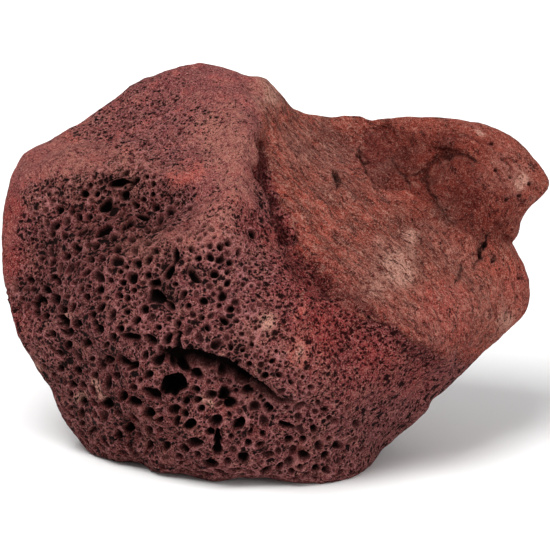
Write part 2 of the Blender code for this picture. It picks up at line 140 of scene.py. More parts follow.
FOLDS = {  # height (or depth) of the crest, half width, then its line of (across, up)
    "ridge": (2.5, 5.0, [(-2, 66), (-5, 55), (-6, 45), (-8, 35), (-12, 26), (-20, 20), (-28, 15)]),
    "gutter": (-4.5, 4.0, [(0, 48), (2, 36), (5, 24), (9, 13), (16, 3)]),
    "brow": (3.0, 6.0, [(-78, 40), (-62, 39), (-48, 38), (-35, 36), (-25, 35)]),
    "under_brow": (-2.8, 8.0, [(-66, 25), (-56, 25), (-44, 25), (-34, 24)]),
    "flow_lip": (2.0, 5.0, [(-28, 14), (-40, 12), (-52, 7), (-62, -2)]),
    "crust_edge": (3.5, 4.5, [(26, -5), (38, -12), (50, -19), (59, -23)]),
    "under_crust": (-2.0, 7.0, [(26, -16), (36, -22), (46, -28)]),
    "crevice_lip": (3.5, 4.5, [(-30, -17), (-20, -18), (-10, -22), (0, -28), (7, -34)]),
    "under_crevice": (-2.5, 5.0, [(-24, -27), (-12, -31), (-1, -37)]),
    "right_notch": (-2.5, 4.0, [(80, 13), (72, 12), (67, 5)]),
    "crust_streak": (1.5, 5.0, [(24, 34), (36, 20), (52, 4), (66, -6)]),
    "recess": (-3.5, 13.0, [(57, 36), (65, 29)]),
    "ledge": (2.0, 4.5, [(36, 38), (46, 36)]),
}
BOSS = (64.0, 31.5)  # the oval boss in the recess near the right-hand end: radius up, slimness and height
BOSS_RADIUS = 11.5
BOSS_SLIMNESS = 1.15
BOSS_RISE = 1.6
GROOVE_TOWARDS = (-0.6, 0.8)  # the groove round it is deepest on this side: depth, how much it varies, half width
GROOVE_DEPTH = 0.6
GROOVE_VARIES = 1.4
GROOVE_WIDTH = 2.2
CHIPS = [  # flats broken off the back and the ends: the way they face (across, up, out) and how far out they lie
    (-40, 40, -60, 68), (-70, 10, -45, 77), (-45, -25, -60, 65), (-5, 20, -80, 58), (-8, -25, -70, 62),
    (35, 10, -70, 63), (30, 45, -60, 65), (65, 20, -40, 88), (60, -20, -45, 71), (-75, -25, -25, 78),
    (-60, 50, -25, 87), (10, 60, -50, 63), (-20, 65, -45, 71), (70, -15, -20, 85), (25, -35, -45, 57),
]

COARSE_ZONES = [  # where coarse bubbles lie: across, up, radius, share of the biggest
    (-38, -32, 30, 1), (-12, -45, 28, 1), (22, -45, 22, 0.9), (-48, 8, 30, 0.7),
]
HOLES = [  # cavities: across, up, length, width, depth, turn in degrees, softness of the rim
    (-29.3, -32.5, 9.6, 7.4, 9, 30, 0.5), (-37.7, -42.3, 5.2, 4.4, 5, 60, 0.6), (7.3, -45.2, 6.2, 3, 4, -15, 0.6),
    (-9, -45, 4.2, 3.4, 4, 80, 0.6), (-15.3, -49, 5.5, 2.8, 4, 90, 0.6), (-43, -16.7, 8, 3, 3, 5, 0.8),
    (-34.5, -3.8, 7.5, 4.2, 5, -15, 1), (-30.5, -6.3, 5.5, 3, 3, -35, 1.2), (-28.6, 9.5, 6, 2.2, 4, 78, 0.8),
    (-31, 4, 5.5, 3.4, 5, 55, 0.7), (-35.3, 1, 4, 3, 3, 20, 0.8), (-22.3, 3, 6.8, 2.8, 4, -55, 0.9),
    (-48.7, 33.5, 6.8, 3.2, 4, 10, 0.7), (-39.7, 22.3, 6.6, 2.6, 5, -22, 0.6), (-53.3, 18, 7.6, 4.6, 5, 50, 0.8),
    (-59.6, 17.3, 5.2, 3.2, 4, 60, 0.8), (-52, 25.5, 6, 3.6, 4, 50, 0.8), (-61.7, 11, 5, 3, 3, 35, 0.8),
    (-73.3, -5.3, 5, 2.8, 3, -30, 0.8), (-64, 5.2, 6, 3, 2, 25, 1.2), (-46, 36.7, 4, 2.4, 2, 20, 0.8),
    (-13.1, -11.4, 4.4, 2.4, 3, -40, 0.7), (-75, -3.8, 4.4, 3.4, 3, 40, 0.8), (-70, 7, 4, 2.4, 2, 30, 0.8),
    (23.6, 35.5, 9, 3.1, 3.3, 85, 0.7), (32.8, 41.5, 11, 3.3, 3.5, 106, 0.7), (72.9, 14, 4.4, 1.9, 2.6, 62, 0.7),
    (71.4, 9.8, 3, 1.7, 2, 80, 0.8),
]
CREVICE = [  # its line from the left: across, up
    (-30, -21.8), (-21.5, -22.3), (-13, -24.6), (-6, -28.6), (0, -32.6), (5, -37),
]
DISHES = [  # wide shallow dents: across, up, length, width, depth, turn in degrees
    (-50.3, -25, 6, 5, 1.8, 20), (-46, -35.7, 6.5, 5, 1.8, 0), (-44.7, -46.7, 5.5, 5, 1.6, 60),
    (-12.7, -39, 7, 4.5, 1.6, 0), (10.7, -54, 6.5, 5, 1.8, 20), (-3, -47.5, 5.5, 5, 1.8, 0),
]

CRUST_OUTLINE = [  # where the smooth crust lies: across, up
    (2, 78), (-2, 60), (-1, 46), (3, 35), (4.8, 26), (8, 18), (12, 11), (21, 0), (28, -7), (40, -13), (51, -20),
    (62, -25), (110, -25), (110, 78),
]
PEAK_OUTLINE = [  # the peak's smoother skin: across, up
    (-100, -22), (-86, -20), (-85, -5), (-83, 8), (-81.5, 25), (-78, 34.5), (-66, 36), (-55, 38), (-48, 36.5),
    (-40, 38.5), (-30, 35), (-22, 30), (-24, 22), (-34, 16), (-30, 12), (-18, 12), (-10, 16), (-4, 26), (-1, 36),
    (0, 55), (8, 90), (-100, 90),
]
RECESS_OUTLINE = [  # the sunken place round the boss: across, up
    (31.8, 45), (33, 39), (36.5, 32.5), (48.4, 32), (55.3, 26.5), (63, 19.7), (70.6, 14.6), (84, 14), (80, 19),
    (75, 24), (76, 31), (71.5, 39.4), (66.4, 45), (57.8, 46), (50, 48.5), (42, 54), (34, 53),
]
RECESS_STEP = 1.3                 # how far the recess lies below the crust round it
STAINS_AND_SHADE = [  # dark crimson strips in the gutter and under the crust's edge, partly stain and partly painted shade: strength and half width, then the line
    (0.9, 2.4, [(-0.8, 47), (-0.3, 40.5), (0.6, 34.8), (2.8, 26), (5, 20), (7.2, 14)]),
    (0.45, 4.5, [(9, 10), (14, 3), (22, -2), (31, -6), (39, -13), (49, -20.5), (56, -25)]),
]
TAN_BLOTS = [  # soft round blots of each finish: across, up, radius, strength
    (38, -3, 5, 0.5), (46, -9.5, 5, 0.6), (54, -15, 5, 0.5), (-9, 45, 9, 0.8), (12, 45, 8, 0.5), (22, 38, 8, 0.4),
    (-15, 50, 9, 0.9), (-12, 42, 7, 1), (-9, 32, 6, 0.8), (-16, 21, 6, 0.7), (-24, 15, 7, 0.6), (-38, 13, 9, 0.5),
    (-62, 40, 12, 0.6), (-45, 38, 10, 0.6), (0, 64, 5, 0.9), (10, -21, 5, 0.5), (32, 4, 7, 0.45), (-2, -16, 5, 0.3),
    (62, 8, 8, 0.5), (75, -6, 8, 0.6), (82, 38, 7, 0.7),
]
PALE_BLOTS = [
    (86, 36, 1.6, 1.8), (83.5, 33.5, 1.2, 1.6), (71.5, 51, 1, 1.4), (80, -12, 3, 0.7), (-56.5, -32.5, 1.1, 2),
    (-54.5, -36, 1.2, 2), (-62, -38, 1.1, 2), (-76, -27, 1.3, 1.6), (44, 5.5, 4.6, 1.6), (48.7, 14.5, 2.2, 0.9),
    (1, 64, 3, 0.9), (1.2, -10.8, 2, 1), (10.6, -22.6, 1.8, 0.6), (36, -1, 4, 0.35), (37, 13, 3, 0.35),
    (-66, -10, 1.4, 2), (-21, -36, 1.1, 1.6), (-18, -37, 1, 1.4), (56, -46, 3, 0.5),
]
RED_BLOTS = [
    (34, -3, 6, 0.55), (10, 8, 6, 0.8), (-86, 24, 7, 0.8), (-88, 8, 8, 0.8), (-84, -12, 6, 0.7), (20, -12, 14, 1),
    (36, -22, 12, 0.8), (28, -30, 10, 0.45), (50, -28, 10, 0.6), (14, 0, 10, 1), (5, 17, 7, 0.8), (1, 34, 5, 0.5),
    (-4, 20, 7, 0.4), (54, -17, 6, 0.6), (42, -11, 5, 0.5), (66, -22, 6, 0.6), (86, -2, 8, 0.3), (30, 45, 10, 0.4),
]
ORANGE_BLOTS = [
    (-29.5, 34, 4.5, 0.8), (-21.5, 38.5, 3.5, 0.7), (59, -9, 14, 0.7), (83, 0, 7, 0.42), (-25, 36.5, 4, 0.8),
    (10.7, -21.7, 4.6, 1.2), (10, -9, 2, 0.8), (-10, 28, 3, 0.7), (-62, 58, 5, 0.7), (-77, 42, 5, 0.4),
    (-64, 50, 4, 0.6), (-28, 33, 2.5, 0.6), (-45, 44, 3, 0.5), (60, 40, 3, 0.4),
]
GREY_BLOTS = [
    (59, 23, 4.5, 0.8), (52, 14, 7, 0.6), (44, 18, 7, 0.5), (40, 6, 9, 0.5), (39, 38, 5, 0.4), (20, 46, 9, 0.5),
    (28, 30, 8, 0.4), (-2, -30, 4, 0.4), (68, 1, 4, 0.4),
]
# darker patches, partly darker stone and partly painted shade, most of them round the recess and under the brow
DARK_AND_SHADED_BLOTS = [
    (78, 30, 9, 0.75), (52, 22, 7, 0.55), (58, 24, 6, 0.65), (-50, 13, 12, 0.5), (66, 29, 14, 0.95),
    (47, 44, 10, 0.95), (60, 46, 9, 0.9), (76, 20, 8, 0.9), (73, 44, 8, 0.6), (80, 36, 9, 0.75), (-50, 22, 20, 0.6),
    (-40, -45, 25, 0.5), (-66, 5, 16, 0.4),
]
FROTH_BLOTS = [  # where the finer bubbles grow; red and orange blots make them smaller again
    (-38, -32, 38, 1), (-60, -24, 18, 0.9), (-12, -47, 32, 1), (14, -52, 18, 0.9), (34, -46, 18, 0.4),
    (-50, 8, 34, 0.9), (-45, 26, 16, 1), (-66, 22, 12, 0.75), (-20, 2, 22, 0.8), (-4, -32, 18, 0.7),
    (-35, 45, 26, 0.42), (-75, -5, 16, 0.65), (0, 2, 12, 0.45),
]
HOLLOWS = [  # cavernous spots, sunk a little and darkened with painted shade and more painted pores: across, up, radius, strength
    (-68, 13, 11, 0.55), (-72, -5, 9, 0.5), (-59, -5, 9, 0.3), (-62, 26, 8, 0.4), (-45, 29, 8, 0.35),
    (-33, 27, 6, 0.35), (-76, -3, 7, 0.9), (-70, -7, 5, 0.7), (-45, -47, 4, 0.8), (-62, -18, 8, 0.45),
    (-67, -30, 7, 0.4), (-60, -41, 7, 0.45), (-46, -34, 5, 0.45), (-25, -24.5, 2.6, 0.8), (-19, -25.5, 3, 0.9),
    (-13, -28, 3, 0.9), (-7, -31, 3, 0.9), (-1, -35.5, 2.6, 0.8), (-48.3, 33, 4, 1), (-52.3, 25.5, 3.6, 0.9),
    (-59, 17.7, 3.4, 0.9), (-53.7, 17.3, 3.6, 0.9), (-39.7, 22, 3.8, 1), (-34, 21, 3, 0.8), (-29.5, 9, 3.2, 1),
    (-33.5, -3, 6, 1), (-23, 4, 3.4, 0.9), (-13, -11.7, 2.6, 0.9), (-75, -1.5, 5, 0.7), (-50, -24, 4.5, 0.8),
    (-42, -17.5, 5, 0.5), (-51, -39, 3.6, 0.8), (-15, -18.5, 3, 0.8), (-6.3, -20, 3, 0.6), (-0.5, -27, 2.6, 0.7),
    (-25.5, -37.5, 3, 0.7), (-66, 27, 5, 0.5), (-63, 6, 4, 0.5), (-45, 27, 3.5, 0.7), (-68, -20, 4, 0.5),
    (-44, 4, 3.5, 0.5), (-47, 14, 8, 0.4), (-58, 12, 7, 0.5), (-40, 17, 5, 0.4),
]
PITS = [  # pits that look round from in front: across, up, width
    (-59, 29.7, 3.4), (-46.3, 29.2, 3.8), (-31, 24, 3.6), (-36, 17.5, 3.2), (-3.7, 16.5, 3.4), (-43, 26, 3.2),
    (-57.5, 23, 3.2), (-64, 24, 3), (-46, 19.1, 3.4), (-43, 15.5, 2.6), (-66, 16, 3.2), (-34.3, 18.3, 2.6),
    (-39.7, 27.7, 3), (-36.5, 29.5, 2.8), (-68, 1, 3), (-57, 9, 2.8), (-50.5, 1.6, 2.6), (-46, 1.1, 3.2),
    (-53.7, -1.6, 3.4), (-47.3, -3.4, 2.8), (-42.8, -1.6, 2.6), (-41, 7.4, 3.6), (-51.4, -4, 2.4),
    (-46.9, 4.6, 2.4), (-37.9, 3, 3), (-39.2, -8.3, 3), (-34.3, -13.3, 3.2), (-56.3, -9.7, 3.2), (-66.7, -11, 3.6),
    (-75.7, -8.5, 3.4), (-65, -3.8, 2.6), (-18, 13.3, 2.4), (-11.8, 4.3, 2.6), (-53, 9, 3), (-48, 12.5, 3.4),
    (-62.2, 13, 3.4), (-55, 12.6, 3.2), (-65.3, 9, 3.2), (-43.3, 20.7, 3.6), (-49.6, 15.3, 3.4), (-37.9, 18, 3),
    (-30.7, 18.4, 2.8), (-61.3, 22.5, 3.2), (-70.3, 16.2, 3), (-74, 9, 3), (-77.5, 1.8, 3.2), (-70.3, 1.8, 3),
    (-52, -38.7, 4.8), (-66, -12.4, 4.6), (-60, -37.8, 3.8), (-54.3, -15, 3.8), (-47.3, -14, 3.2),
    (-38.5, -29, 3.4), (-48, -29.9, 3.6), (-58.7, -19.3, 3.8), (-62, -28, 4), (-55.5, -30, 3.4), (-65, -20, 3.8),
    (-70, -16, 3.4), (-57, -24.5, 3), (-52, -20, 2.8), (-68, -28, 3.4), (79.3, 41.7, 2.2), (80, 28.5, 2.2),
    (84.5, 30, 2), (75.5, 47, 2.2), (88.5, 33.3, 2.4), (77, 38, 2), (82, 35.5, 1.8), (69, 50, 1.8), (85, 3, 2),
    (80, -9, 2), (84, -4, 1.8), (76, 9, 2.2), (-38, -41.5, 5), (-44.5, -46.5, 4.2), (-32, -52.5, 3.6),
    (-27, -53, 3.4), (-21.7, -55, 3), (-18.2, -47, 3.6), (-15, -50, 4), (-8.7, -44.7, 4.4), (-6.7, -55.8, 4.2),
    (-5.5, -51.4, 3.2), (1, -39, 3.2), (-25.3, -37.5, 3), (-20.5, -40, 3.2), (-42, -26, 3.6), (-45, -9, 3),
    (-28, -12, 3), (-24, -20, 2.6), (16, -47, 3.6), (21, -43, 3), (24, -52, 3.6), (12, -50, 3.2), (30, -45, 3),
    (17, -38, 2.6), (0, -48, 3), (-56, -12, 3), (-62, 1, 2.6), (-57, -48, 3), (-77, -1.5, 2.8), (-75.5, -6.5, 3.4),
    (-72.3, -1, 3.4), (-69, -4.5, 3.6), (-66.5, -7.5, 3.2), (-72.5, -10, 3.4), (-61.5, -12.5, 3.6), (-64, -16, 3.4),
    (-58, -4, 3), (-49.3, -29.4, 3), (-37.8, -29, 3.2), (-34.5, -44.3, 3), (-28, -48.4, 2.4), (-11, -48.9, 2.8),
    (2, -39.6, 3.4),
]
POROUS_BLOTS = [  # parts of the peak with more or fewer pores, and parts of the crust without fibres
    (-52, 44, 8, 0.6), (-60, 54, 7, 0.8), (-50, 56, 9, 1), (-45, 50, 9, 1), (-34, 47, 11, 1), (-38, 60, 10, 0.9),
    (-26, 55, 9, 0.7), (-40, 42, 7, 0.8), (-28, 40, 6, 0.7), (-12, 22, 7, 0.7), (0, 32, 4, 0.8), (-50, 37, 5, 0.8),
]
SMOOTH_BLOTS = [
    (-86, 24, 9, 0.6), (-88, 8, 9, 0.6), (-87, -6, 9, 0.5), (-78, 42, 9, 1), (-66, 41, 9, 0.9), (-56, 41, 5, 0.7),
    (-14, 72, 10, 0.7), (-10, 44, 7, 0.7), (-25, 35, 4, 0.9), (-16, 34, 4, 0.5), (0, 64, 6, 0.8),
]
GRANULAR_BLOTS = [
    (66, 36, 26, 1), (86, 0, 14, 0.8), (50, 52, 14, 0.8),
]
CRACKS = [  # how dark its painted shade is, then the line
    (0.9, [(74.3, 15.8), (73.2, 14), (71.3, 12.2), (72.2, 9)]), (0.7, [(70.6, 8.5), (69.2, 6)]),
    (0.7, [(65, 6.5), (64.5, 4), (63.4, 1.4)]), (0.7, [(33.6, 38.5), (33, 42), (31.4, 44), (31.9, 46)]),
    (0.8, [(23.5, 37), (23.8, 33)]), (0.5, [(9.8, 6), (10.2, 3)]), (0.5, [(15.5, 5), (18, 1), (20.8, -4.7)]),
    (0.5, [(62, 20.5), (59.5, 23.5), (55.6, 28), (53.4, 33)]),
    (0.66, [(53.4, 33), (53.2, 36.5), (54.4, 39.3), (57.4, 42.6), (61.9, 44), (67, 43.9), (70.2, 41.5)]),
    (0.6, [(54.2, 39.1), (50.5, 38), (47.2, 37.6), (48.5, 34.4)]), (0.5, [(43, 42), (45.4, 38.3), (47.2, 37.6)]),
]
BANDS = [  # dark layers in the ledge above the boss
    [(42, 46.5), (50, 49), (58, 50.3), (66, 50.2), (74, 47.6)], [(36, 50), (40, 45.5), (43, 41)],
    [(45, 43.2), (52, 45.6), (59, 47.4), (66, 47.6), (73, 45)], [(76, 20), (69, 17.5), (63, 18.5)],
]
CRACK_DEPTH = 1.0                 # how far the cracks, and the dark hollows and crimson strips, lie below the skin
HOLLOW_DEPTH = 1.8
FIBRE = (0.66, -0.66, 0.36)       # the way the crust's fibres run, and how much longer than wide they are
FIBRE_STRETCH = 3.5
PORE_RUN = (0.8, 0.35, 0.45)      # the same for the froth's pores, which are drawn out only a little
PORE_STRETCH = 1.5

MAROON = (115, 59, 62)            # tones, as display values
ROSE = (140, 75, 75)
BRICK = (170, 77, 63)
UMBER = (108, 60, 51)
ORANGE = (172, 90, 74)
SALMON = (164, 83, 80)
EMBER = (174, 80, 72)
RED = (140, 49, 48)
# the dark red-brown of the darker patches, which are partly painted shade
DARK_AND_SHADED = (77, 23, 19)
TAN = (163, 103, 92)
PALE = (202, 147, 130)
# the painted highlight on the rims of pits and pores
RIM_HIGHLIGHT = (180, 119, 118)
GREY = (100, 60, 53)
SHADE = (58, 17, 16)
GORE = (80, 20, 25)
# these two: the dark red and the near-black painted as shade in pores, pits, cracks and hollows; the dark red also
# darkens the crimson strips
CLOT = (44, 8, 11)
DEEP_SHADE = (16, 3, 3)


def noise(points, size, seed):
    """Smooth noise between -1 and 1: random heights on a cubic lattice of this size, blended between."""
    table = np.random.default_rng(seed).uniform(-1, 1, (32, 32, 32))
    low = np.floor(points / size).astype(int)
    part = points / size - low
    part = part * part * (3 - 2 * part)
    total = np.zeros(len(points))
    for corner in itertools.product((0, 1), repeat=3):
        weight = np.prod(np.where(corner, part, 1 - part), axis=1)
        total += weight * table[tuple(((low + corner) % 32).T)]
    return total


def thin_plate(places, values, stiffness=0.0):
    """The smoothest bending sheet through (or, if it has stiffness, near) these values at these places."""
    def kernel(at):
        """What each place adds: the squared distance from it times that square's logarithm."""
        squares = ((at[:, None] - places[None]) ** 2).sum(axis=-1) / 1000
        return squares * np.log(squares + 1e-9)

    def tilt(at):
        """The level and the slopes across and up of the sheet as a whole."""
        return np.hstack([np.ones((len(at), 1)), at / 30])

    count = len(places)
    stiff = kernel(places) + stiffness * np.eye(count)
    system = np.block([[stiff, tilt(places)], [tilt(places).T, np.zeros((3, 3))]])
    weights = np.linalg.solve(system, np.concatenate([values, np.zeros(3)]))
    return lambda at: kernel(at) @ weights[:count] + tilt(at) @ weights[count:]


def contour_points():
    """The contour as it really lies: drawn from SIGHT_DISTANCE, its nearer points look larger than they are."""
    points = np.array(CONTOUR, float)
    points[:, :2] *= 1 - points[:, 2:] / SIGHT_DISTANCE
    return points


def contour_radius(angles, blur=0.0):
    """The contour's radius at these bearings, averaged over blur either way."""
    points = contour_points()[:, :2]
    own = np.arctan2(points[:, 1], points[:, 0])
    order = np.argsort(own)
    steps = np.linspace(-blur, blur, 9) if blur else [0.0]
    radii = [
        np.interp(angles + step, own[order], np.linalg.norm(points, axis=1)[order], period=2 * math.pi)
        for step in steps
    ]
    return np.mean(radii, axis=0)


def spread(angles, share):
    """Where a ball's outline share lands in the plane of the contour: its notches fade out towards the middle."""
    notched, even = contour_radius(angles, CONTOUR_SOFTNESS), contour_radius(angles, CONTOUR_BLUR)
    reach = share * (even + (notched - even) * share ** NOTCH_FADE)
    return np.column_stack([reach * np.cos(angles), reach * np.sin(angles)])


def bulge(places):
    """How far between the middle (1) and the contour (0) each place lies, on a circle's arc."""
    angles, distance = np.arctan2(places[:, 1], places[:, 0]), np.hypot(*places.T)
    share = distance / contour_radius(angles, CONTOUR_BLUR)
    for _ in range(6):
        share = share * distance / np.hypot(*spread(angles, share).T)
    return np.sqrt(np.clip(1 - share ** 2, 0.0, 1.0))


def fullness(names, rim):
    """The function that brings the surface from the rim sheet out to these spot heights: height over bulge."""
    spots = np.array([spot for name in names for spot in SPOTS[name]], float)
    return thin_plate(spots[:, :2], (spots[:, 2] - rim(spots[:, :2])) / bulge(spots[:, :2]), 0.02)


def distance_to_line(places, line):
    """Distance from each place to the nearest point of a line of straight runs."""
    nearest = np.full(len(places), np.inf)
    for start, end in itertools.pairwise(np.array(line, float)):
        run = end - start
        share = np.clip((places - start) @ run / (run @ run), 0, 1)
        nearest = np.minimum(nearest, np.linalg.norm(places - start - share[:, None] * run, axis=1))
    return nearest


def folds(places):
    """Height added in front by the folds, each a bell across its line, and by the boss in its ring groove."""
    height = np.zeros(len(places))
    for rise, width, line in FOLDS.values():
        height += rise * np.exp(-(distance_to_line(places, line) / width) ** 2)
    offset = places - BOSS
    reach = np.linalg.norm(offset * (BOSS_SLIMNESS, 1.0), axis=1)
    towards = np.clip(offset @ GROOVE_TOWARDS / np.maximum(reach, 1.0), -0.5, 1)
    groove = np.exp(-((reach - BOSS_RADIUS - 1.0) / GROOVE_WIDTH) ** 2)
    boss = BOSS_RISE * np.exp(-(reach / BOSS_RADIUS) ** 8)
    return height + boss - (GROOVE_DEPTH + GROOVE_VARIES * towards) * groove


def crowd(directions, amount):
    """A ball's points slid towards the front by scaling its stereographic map, which keeps small shapes."""
    ratio = np.sqrt((1 - directions[:, 2]) / np.maximum(1 + directions[:, 2], 1e-9)) / amount
    ratio = np.minimum(ratio, 1e4)
    flat = np.hypot(directions[:, 0], directions[:, 1])
    outline = directions[:, :2] / np.maximum(flat, 1e-9)[:, None]
    squares = ratio ** 2
    return np.column_stack([outline * (2 * ratio / (1 + squares))[:, None], (1 - squares) / (1 + squares)])


def form(directions):
    """Points of the stone's form, in the sighting frame, for unit directions from a ball's middle.

    A ball's outline is spread to the contour. Its depth is a rim sheet through the contour's own depths, plus
    bulge times fullness, which is positive in front and negative behind. Folds are added in front. Lumps, which
    fade out towards the outline, swell or shrink it by a share of its reach, and the chips are broken off.
    """
    places = spread(np.arctan2(directions[:, 1], directions[:, 0]), np.hypot(directions[:, 0], directions[:, 1]))
    contour = contour_points()
    rim = thin_plate(contour[:, :2], contour[:, 2], 0.02)
    front = fullness([name for name in SPOTS if name != "back"], rim)(places)
    back = -fullness(["back"], rim)(places)
    facing = np.clip(directions[:, 2] * 1.8 - 0.2, 0, 1)
    out = rim(places) + directions[:, 2] * np.where(directions[:, 2] > 0, front, back) + facing * folds(places)
    points = np.column_stack([places, out])
    lumps = 0.022 * noise(points, 26.0, SEED) + 0.014 * noise(points, 12.0, SEED + 1)
    points *= 1 + (lumps * np.minimum(1.0, 1.6 * np.abs(directions[:, 2])))[:, None]
    return chipped(points)


def chipped(points):
    """The points with the chips broken off: whatever stands above a chip's plane is pressed down onto it."""
    for *toward, distance in CHIPS:
        normal = np.array(toward) / np.linalg.norm(toward)
        points = points - normal * np.maximum(points @ normal - distance, 0)[:, None]
    return points


def upright(points):
    """The points in the stone's own frame, in metres: x across, y away, z up from the flat underside."""
    across, up, out = np.asarray(points, float).T
    height = up * math.cos(SIGHT_TILT) + out * math.sin(SIGHT_TILT) + BASE_DROP
    away = up * math.sin(SIGHT_TILT) - out * math.cos(SIGHT_TILT)
    return MM * np.column_stack([across + CENTRE_SHIFT[0], away + CENTRE_SHIFT[1], np.maximum(height, 0.0)])


def upright_way(way):
    """A way of the sighting frame in the stone's own frame."""
    across, up, out = way
    height = up * math.cos(SIGHT_TILT) + out * math.sin(SIGHT_TILT)
    return across, up * math.sin(SIGHT_TILT) - out * math.cos(SIGHT_TILT), height


def coarseness(places, facing):
    """How coarse the pits are at these places: 1 in the middle of a coarse zone, 0 on the smooth crust."""
    front = np.zeros(len(places))
    for across, up, radius, share in COARSE_ZONES:
        reach = np.hypot(places[:, 0] - across, places[:, 1] - up) / radius
        front = np.maximum(front, share * np.clip(1.3 - reach ** 2, 0, 1))
    behind = np.clip(0.55 + 0.6 * noise(places, 30.0, SEED + 2), 0, 0.85)
    return np.where(facing > -0.2, front, behind)


def scatter():
    """Seeded bubbles (place, diameter) all over the coarse parts, biggest first, each clear of the others."""
    random = np.random.default_rng(SEED)
    directions = random.normal(size=(TRIED_BUBBLES, 3))
    directions /= np.linalg.norm(directions, axis=1)[:, None]
    places = form(directions)
    diameters = BIGGEST_BUBBLE * coarseness(places, directions[:, 2]) * random.uniform(0.5, 1.0, TRIED_BUBBLES)
    kept = []
    for index in np.argsort(-diameters):
        gaps = [np.linalg.norm(places[index] - places[other]) - diameters[other] / 2 for other in kept]
        if min(gaps, default=np.inf) > diameters[index] / 2 + BUBBLE_WALL:
            kept.append(index)
    return [(places[index], diameters[index]) for index in kept[:SCATTERED_BUBBLES]]


def fineness(places, facing):
    """How wide the finer bubbles grow at these places, as a share of the widest: widest in the froth blots, less
    where red and orange blots lie, and by noise behind."""
    front = blots(places, FROTH_BLOTS) * (1 - 0.6 * blots(places, ORANGE_BLOTS + RED_BLOTS))
    behind = np.clip(0.75 + 0.5 * noise(places, 26.0, SEED + 3), 0, 1)
    return np.where(facing > -0.2, front, behind)


def ball_grid():
    """A closed ball of square cells: its directions, its cells, and each cell corner's place on the bake map.

    A point (a, b) of a cube's face, both from -1 to 1, goes in the direction (tan(a * 45 deg), tan(b * 45 deg), 1)
    turned to that face. The front face takes two thirds of the map each way, and the other five the rest of it.
    """
    steps = np.arange(CELLS + 1)
    a, b = np.meshgrid(steps, steps, indexing="ij")
    far, near = np.full_like(a, CELLS), np.zeros_like(a)
    faces = [(a, b, far), (b, a, near), (far, a, b), (near, b, a), (b, far, a), (a, near, b)]
    lattice = np.concatenate([np.stack(face, axis=-1).reshape(-1, 3) for face in faces])
    corners, index = np.unique(lattice, axis=0, return_inverse=True)
    index = index.reshape(6, CELLS + 1, CELLS + 1)
    directions = np.tan((corners / CELLS * 2 - 1) * math.pi / 4)
    directions /= np.linalg.norm(directions, axis=1)[:, None]
    charts = np.array([(0, 0, 2), (2, 0, 1), (2, 1, 1), (2, 2, 1), (0, 2, 1), (1, 2, 1)]) / 3
    share = np.stack([a, b], axis=-1) / CELLS * 0.97 + 0.015
    maps = charts[:, None, None, :2] + share[None] * charts[:, None, None, 2:]
    return directions, cell_corners(index), cell_corners(maps)


def cell_corners(grids):
    """The four corner values of every cell of these grids, counter-clockwise, cell after cell."""
    around = [grids[:, :-1, :-1], grids[:, 1:, :-1], grids[:, 1:, 1:], grids[:, :-1, 1:]]
    corners = np.stack(around, axis=3)
    return corners.reshape(-1, *corners.shape[3:])


def surface_normals(points, cells):
    """Each point's outward normal: the sum of the crossed diagonals of the cells round it."""
    crossed = np.cross(points[cells[:, 2]] - points[cells[:, 0]], points[cells[:, 3]] - points[cells[:, 1]])
    total = np.zeros_like(points)
    for corner, axis in itertools.product(range(4), range(3)):
        total[:, axis] += np.bincount(cells[:, corner], crossed[:, axis], len(points))
    return total / np.linalg.norm(total, axis=1)[:, None]


def signed_distance(places, outline):
    """Distance to a closed outline, positive inside it: a place is inside if a ray from it crosses an odd number."""
    closed = list(outline) + [outline[0]]
    inside = np.zeros(len(places), bool)
    for (x0, y0), (x1, y1) in itertools.pairwise(closed):
        if y0 != y1:
            crossing = x0 + (places[:, 1] - y0) * (x1 - x0) / (y1 - y0)
            inside ^= ((y0 > places[:, 1]) != (y1 > places[:, 1])) & (places[:, 0] < crossing)
    return distance_to_line(places, closed) * np.where(inside, 1, -1)


def side_of_cracks(places):
    """Distance to the nearest crack, positive to the left of its run: it crosses zero just where the crack is."""
    nearest = np.full(len(places), FAR_FROM_RIM)
    for _, line in CRACKS:
        for start, end in itertools.pairwise(np.array(line, float)):
            run = end - start
            offset = places - start
            side = (run[0] * offset[:, 1] - run[1] * offset[:, 0]) / np.hypot(*run)
            reach = distance_to_line(places, [start, end])
            nearest = np.where(reach < np.abs(nearest), np.copysign(reach, side), nearest)
    return nearest


def step(values, low, high):
    """Smooth step from 0 at low to 1 at high."""
    share = np.clip((values - low) / (high - low), 0, 1)
    return share * share * (3 - 2 * share)


def blots(places, spots):
    """Soft round blots (across, up, radius, strength): the strongest one at each place."""
    strongest = np.zeros(len(places))
    for across, up, radius, strength in spots:
        reach = np.hypot(places[:, 0] - across, places[:, 1] - up) / radius
        strongest = np.maximum(strongest, strength * np.exp(-reach ** 2))
    return strongest


def wavering(points, size, amount, seed):
    """The points' places in the sighting plane, pushed about by noise of this size, by up to this amount."""
    return points[:, :2] + np.column_stack([noise(points, size, seed), noise(points, size, seed + 1)]) * amount


